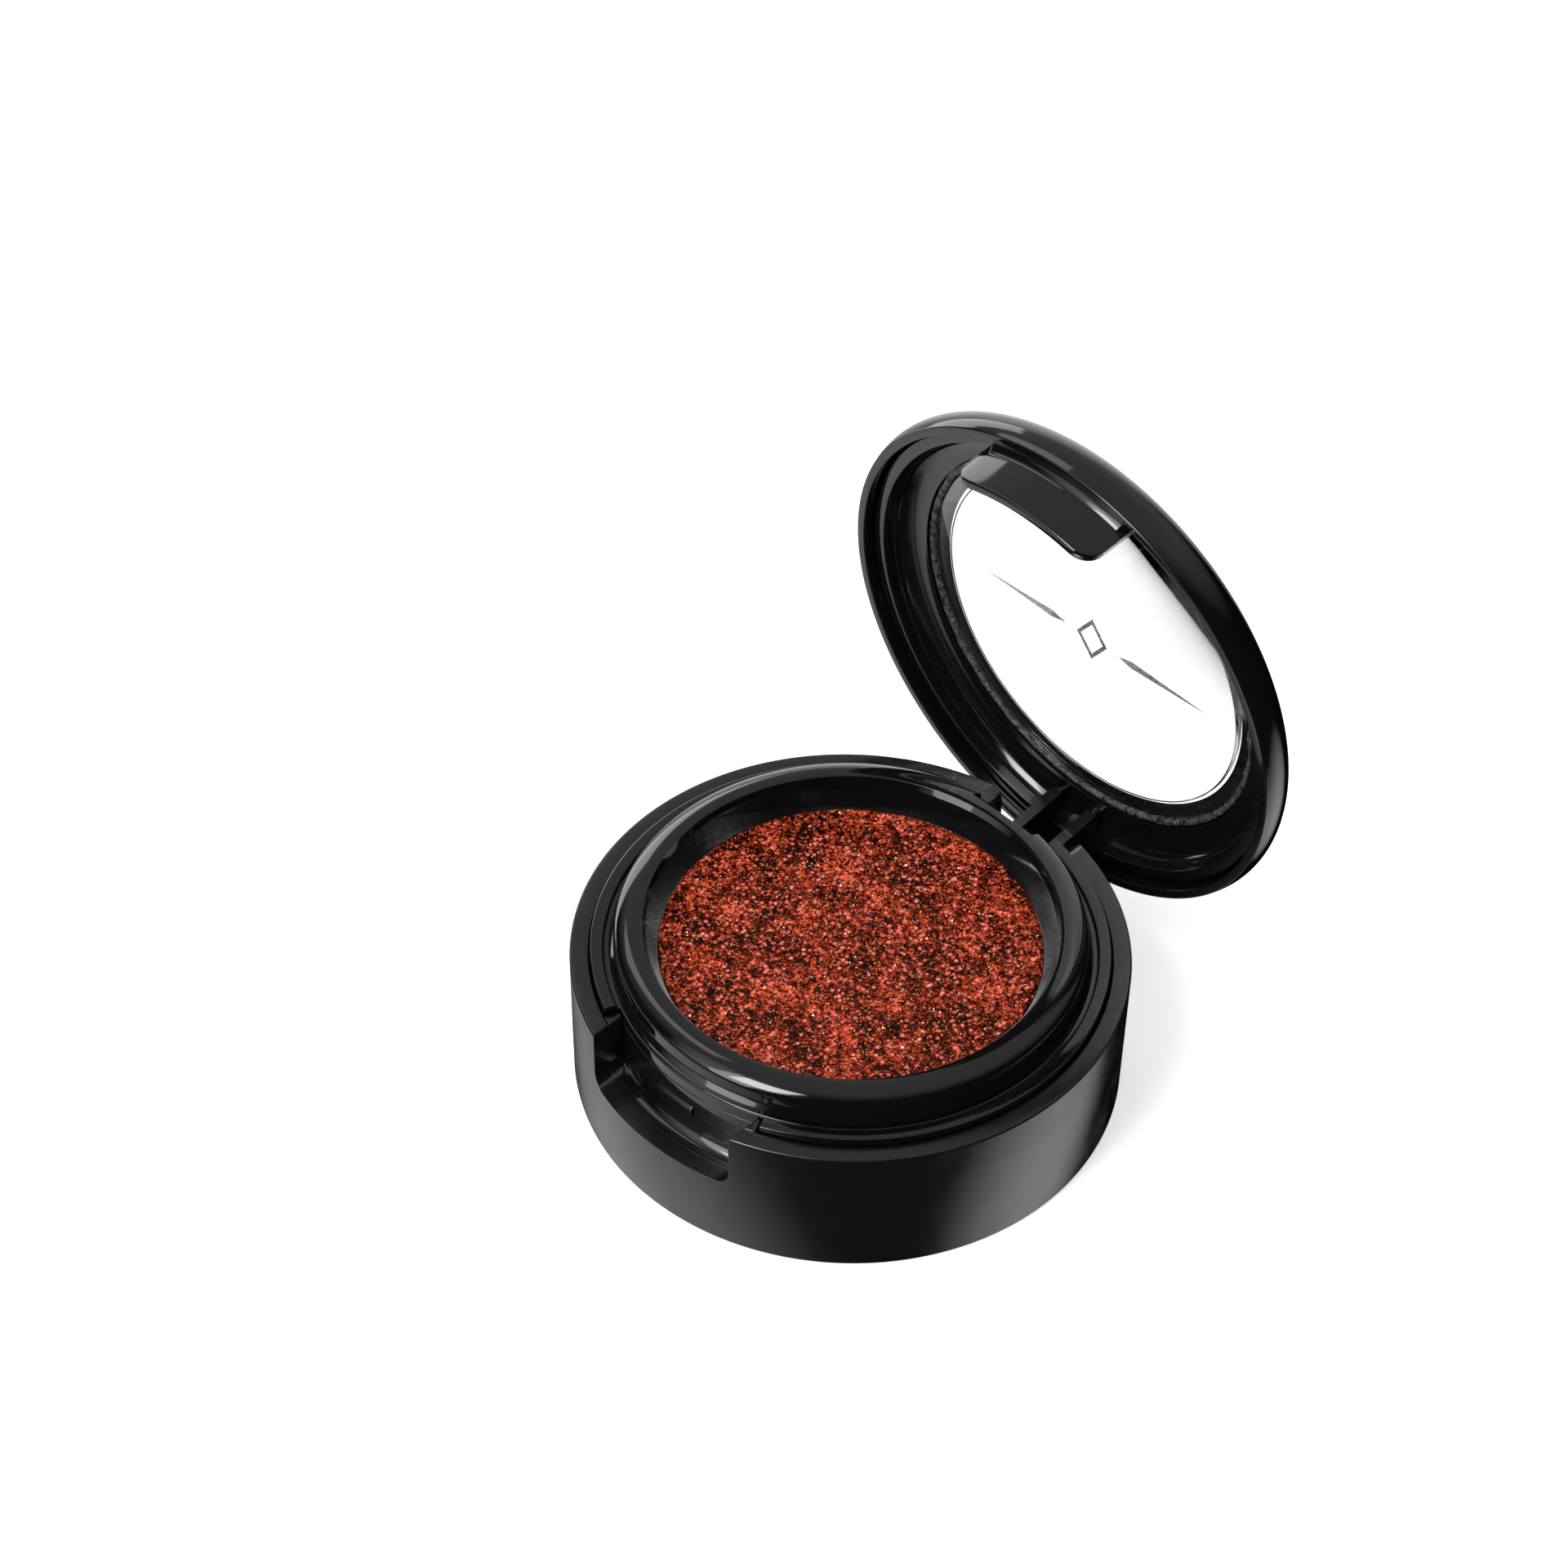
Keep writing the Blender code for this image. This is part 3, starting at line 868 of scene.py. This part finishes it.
def build_glue_band():
    """A ragged ring of glue, whose width and height wander round the window."""
    mean_inner = R - 4.6
    mean_foot = 3.12
    outer = R - 4.2
    top = 3.45
    waves = 9  # how many waves the noise has across the ring, from its middle out
    rings = []
    for step in range(STEPS):
        angle = 360 * step / STEPS
        turn = math.radians(angle)
        spot = Vector((math.cos(turn), math.sin(turn), 0)) * waves
        wander = noise.noise(spot)
        inner = mean_inner - 0.12 * wander - 0.1 * noise.noise(spot * 6)
        foot = mean_foot - 0.08 * wander - 0.06 * noise.noise(spot * 4 + Vector((0, 0, 5)))
        section = [
            (inner, foot + 0.12),
            (inner + 0.15, foot),
            (outer - 0.02, foot + 0.03),
            (outer + 0.02, top),
            (inner, top),
        ]
        rings.append(around(on_lid(section), angle))
    return lofted("window_glue_band", rings, closed=True)


def build_ornament():
    """Silver foil on the window: an open lozenge between two tapered lines."""
    low = LID_RIM + WINDOW_TOP + 0.005
    high = low + 0.02
    half = 1.9
    stroke = 0.5
    squash = 0.72
    line = [(2.4, 0), (3.6, 0.32), (10.2, 0), (3.6, -0.32)]
    shape = bmesh.new()
    rows = []
    for reach in (half, half - stroke):
        corners = [(reach * squash, 0), (0, reach), (-reach * squash, 0), (0, -reach)]
        for height in (low, high):
            rows.append([shape.verts.new((x, y, height)) for x, y in corners])
    outer_low, outer_high, inner_low, inner_high = rows
    loop = (outer_low, outer_high, inner_high, inner_low, outer_low)
    for near, far in zip(loop, loop[1:]):
        bridge(shape, near, far)
    for sign in (-1, 1):
        ends = [[shape.verts.new((sign * x, y, height)) for x, y in line] for height in (low, high)]
        bridge(shape, *ends)
        for end in ends:
            shape.faces.new(end)
    return make_object("foil_ornament", shape)


# ---- Assembly ----


def dress(piece, material, body, node_name=None):
    """Gives a piece its material and body, and hides the CAD node it stands for."""
    piece.data.materials.clear()
    piece.data.materials.append(material)
    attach(piece, body)
    if node_name:
        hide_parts(node_name)


def dress_flakes(flakes):
    """Gives the flakes one metal for each kind. Clearing the old materials would forget the kinds."""
    metals = [flake_material(name, dark, light) for name, _, dark, light in FLAKES]
    kinds = [polygon.material_index for polygon in flakes.data.polygons]
    dress(flakes, metals[0], "base")
    for extra in metals[1:]:
        flakes.data.materials.append(extra)
    flakes.data.polygons.foreach_set("material_index", kinds)


def build_base():
    """Every piece that stands still."""
    shell_black = plastic("shell_black", shade=0.004, roughness=0.22)
    insert_black = plastic("insert_black", shade=0.003, roughness=0.05)
    for piece in (build_shell(), build_shelf(), *build_ears()):
        dress(piece, shell_black, "base", "base_shell")
    for piece in (build_insert(), build_catch_rib(), build_notch_fillet()):
        dress(piece, insert_black, "base", "inner_frame")
    cake = build_powder()
    flakes = build_flakes()
    dress(cake, powder_material(), "base", "powder")
    dress_flakes(flakes)
    for piece in (cake, flakes):
        piece.visible_glossy = False  # the black gloss round it stays black


def build_lid():
    """Every piece that turns with the lid, drawn closed and then swung open."""
    bezel_black = plastic("bezel_black", shade=0.003, roughness=0.09)
    lining_black = plastic("lining_black", shade=0.003, roughness=0.09)
    lining_pieces = [build_lining(), build_tab(), build_bead(), *build_arms()]
    bezel = build_bezel()
    window = build_window()
    glue = build_glue_band()
    ornament = build_ornament()
    for piece in (*lining_pieces, bezel, window, glue, ornament):
        swing_open(piece)
    for piece in lining_pieces:
        dress(piece, lining_black, "lid", "lid_inner_ring")
    dress(bezel, bezel_black, "lid", "lid_ring")
    dress(window, clear_material(), "lid", "window")
    dark_glue = glue_material("window_glue", (0.004, 0.004, 0.0045), (0.07, 0.07, 0.073), roughness=0.25)
    dress(glue, dark_glue, "lid", "window_glue")
    foil = metal("silver_foil", (0.55, 0.55, 0.56), (0.75, 0.75, 0.76), roughness=0.25)
    dress(ornament, foil, "lid")


def finish_frame_nodes():
    """The pieces that stay as the frame made them get detailed materials."""
    finishes = {
        "pan": metal("tinplate", (0.5, 0.5, 0.51), (0.68, 0.68, 0.69), roughness=0.3),
        "hinge_pin": metal("pin_steel", (0.42, 0.42, 0.44), (0.6, 0.61, 0.62), roughness=0.22),
        "pan_adhesive": glue_material("pan_glue", (0.55, 0.53, 0.46), (0.8, 0.78, 0.7), roughness=0.6),
    }
    for name, material in finishes.items():
        piece = frame["nodes"][name]
        piece.data.materials.clear()
        piece.data.materials.append(material)


# ---- Studio ----


def build_floor():
    """A plain pale floor, which gives off a little light of its own and stays out of reflections."""
    half = 1.5
    shape = bmesh.new()
    corners = [(-half, -half, 0), (half, -half, 0), (half, half, 0), (-half, half, 0)]
    shape.faces.new([shape.verts.new(corner) for corner in corners])
    mesh = bpy.data.meshes.new("floor")
    shape.to_mesh(mesh)
    shape.free()
    floor = bpy.data.objects.new("floor", mesh)
    bpy.context.scene.collection.objects.link(floor)
    material, tree, shader = new_material("floor_paper")
    shader.inputs["Roughness"].default_value = 0.9
    shader.inputs["Specular IOR Level"].default_value = 0.0
    shader.inputs["Emission Color"].default_value = (1, 1, 1, 1)
    shader.inputs["Emission Strength"].default_value = 0.45
    tone = ramp(tree, noise_value(tree, size=30.0), [(0.3, (0.9, 0.9, 0.9)), (0.7, (0.92, 0.92, 0.92))])
    plug(tree, shader, Base_Color=tone)
    mesh.materials.append(material)
    floor.visible_glossy = False


def facing(azimuth, elevation):
    """A direction out from the object, in degrees. Azimuth 0 is -Y and 90 is +X."""
    a = math.radians(azimuth)
    e = math.radians(elevation)
    return Vector((math.sin(a) * math.cos(e), -math.cos(a) * math.cos(e), math.sin(e)))


def softbox(name, azimuth, elevation, spread, radiance, lean=0.0):
    """An area light that spans (width, height) degrees as the object sees it."""
    distance = 0.8
    data = bpy.data.lights.new(name, "AREA")
    data.shape = "RECTANGLE"
    data.size, data.size_y = [2 * distance * math.tan(math.radians(angle / 2)) for angle in spread]
    data.energy = radiance * math.pi * data.size * data.size_y
    lamp = bpy.data.objects.new(name, data)
    bpy.context.scene.collection.objects.link(lamp)
    out = facing(azimuth, elevation)
    turn = out.to_track_quat("Z", "Y").to_matrix() @ Matrix.Rotation(math.radians(lean), 3, "Z")
    lamp.matrix_world = Matrix.Translation(out * distance) @ turn.to_4x4()


def build_lights():
    """A tall key light in front with a bright core, and two softboxes on the left."""
    softbox("key_box", azimuth=-6, elevation=30, spread=(20, 64), radiance=4.0)
    softbox("key_core", azimuth=0, elevation=49, spread=(18, 30), radiance=11.0)
    softbox("left_box", azimuth=-105, elevation=8, spread=(20, 56), radiance=3.0, lean=40)
    softbox("high_box", azimuth=-92, elevation=50, spread=(14, 34), radiance=1.8)


def build_world():
    """White to the eye, soft even light on matt surfaces, and a dark studio with glows in reflections."""
    even_light = 0.6
    world = bpy.data.worlds.new("studio")
    bpy.context.scene.world = world
    world.use_nodes = True
    tree = world.node_tree
    direction = node(tree, "ShaderNodeTexCoord").outputs["Generated"]
    lit = []
    for azimuth, elevation, inner, outer, radiance in GLOWS:
        inputs = {0: direction, 1: facing(azimuth, elevation)}
        closeness = node(tree, "ShaderNodeVectorMath", inputs, operation="DOT_PRODUCT").outputs["Value"]
        edges = [math.cos(math.radians(angle)) for angle in (outer, inner)]
        lit.append(span(tree, closeness, 0.0, radiance, *edges))
    path = node(tree, "ShaderNodeLightPath").outputs
    seen = maths(tree, "MAXIMUM", path["Is Camera Ray"], path["Is Transmission Ray"])
    unseen_level = mixed_values(tree, path["Is Glossy Ray"], even_light, added(tree, *lit))
    level = mixed_values(tree, seen, unseen_level, 1.0)
    tree.links.new(level, tree.nodes["Background"].inputs["Strength"])
    tree.nodes["Background"].inputs["Color"].default_value = (1, 1, 1, 1)


def build_camera():
    """A long lens that looks down at the object from its front right, rolled by about a degree."""
    azimuth = 44.15
    elevation = 44.5
    roll = math.radians(1.127)
    aim = Vector((-12.48, 6.07, 13.28)) * MM  # the point in the middle of the picture
    distance = 334.25 * MM
    data = bpy.data.cameras.new("camera")
    data.sensor_width = 36.0
    data.lens = 111.1
    data.clip_start = 0.01
    data.clip_end = 10.0
    camera = bpy.data.objects.new("camera", data)
    bpy.context.scene.collection.objects.link(camera)
    back = facing(azimuth, elevation)
    level_right = facing(azimuth + 90, 0)
    level_up = back.cross(level_right)
    right = level_right * math.cos(roll) + level_up * math.sin(roll)
    up = level_up * math.cos(roll) - level_right * math.sin(roll)
    turn = Matrix((right, up, back)).transposed().to_4x4()
    camera.matrix_world = Matrix.Translation(aim + back * distance) @ turn
    bpy.context.scene.camera = camera


def main():
    build_camera()
    build_base()
    build_lid()
    finish_frame_nodes()
    build_floor()
    build_lights()
    build_world()
    bpy.context.scene.view_settings.view_transform = "Standard"


main()
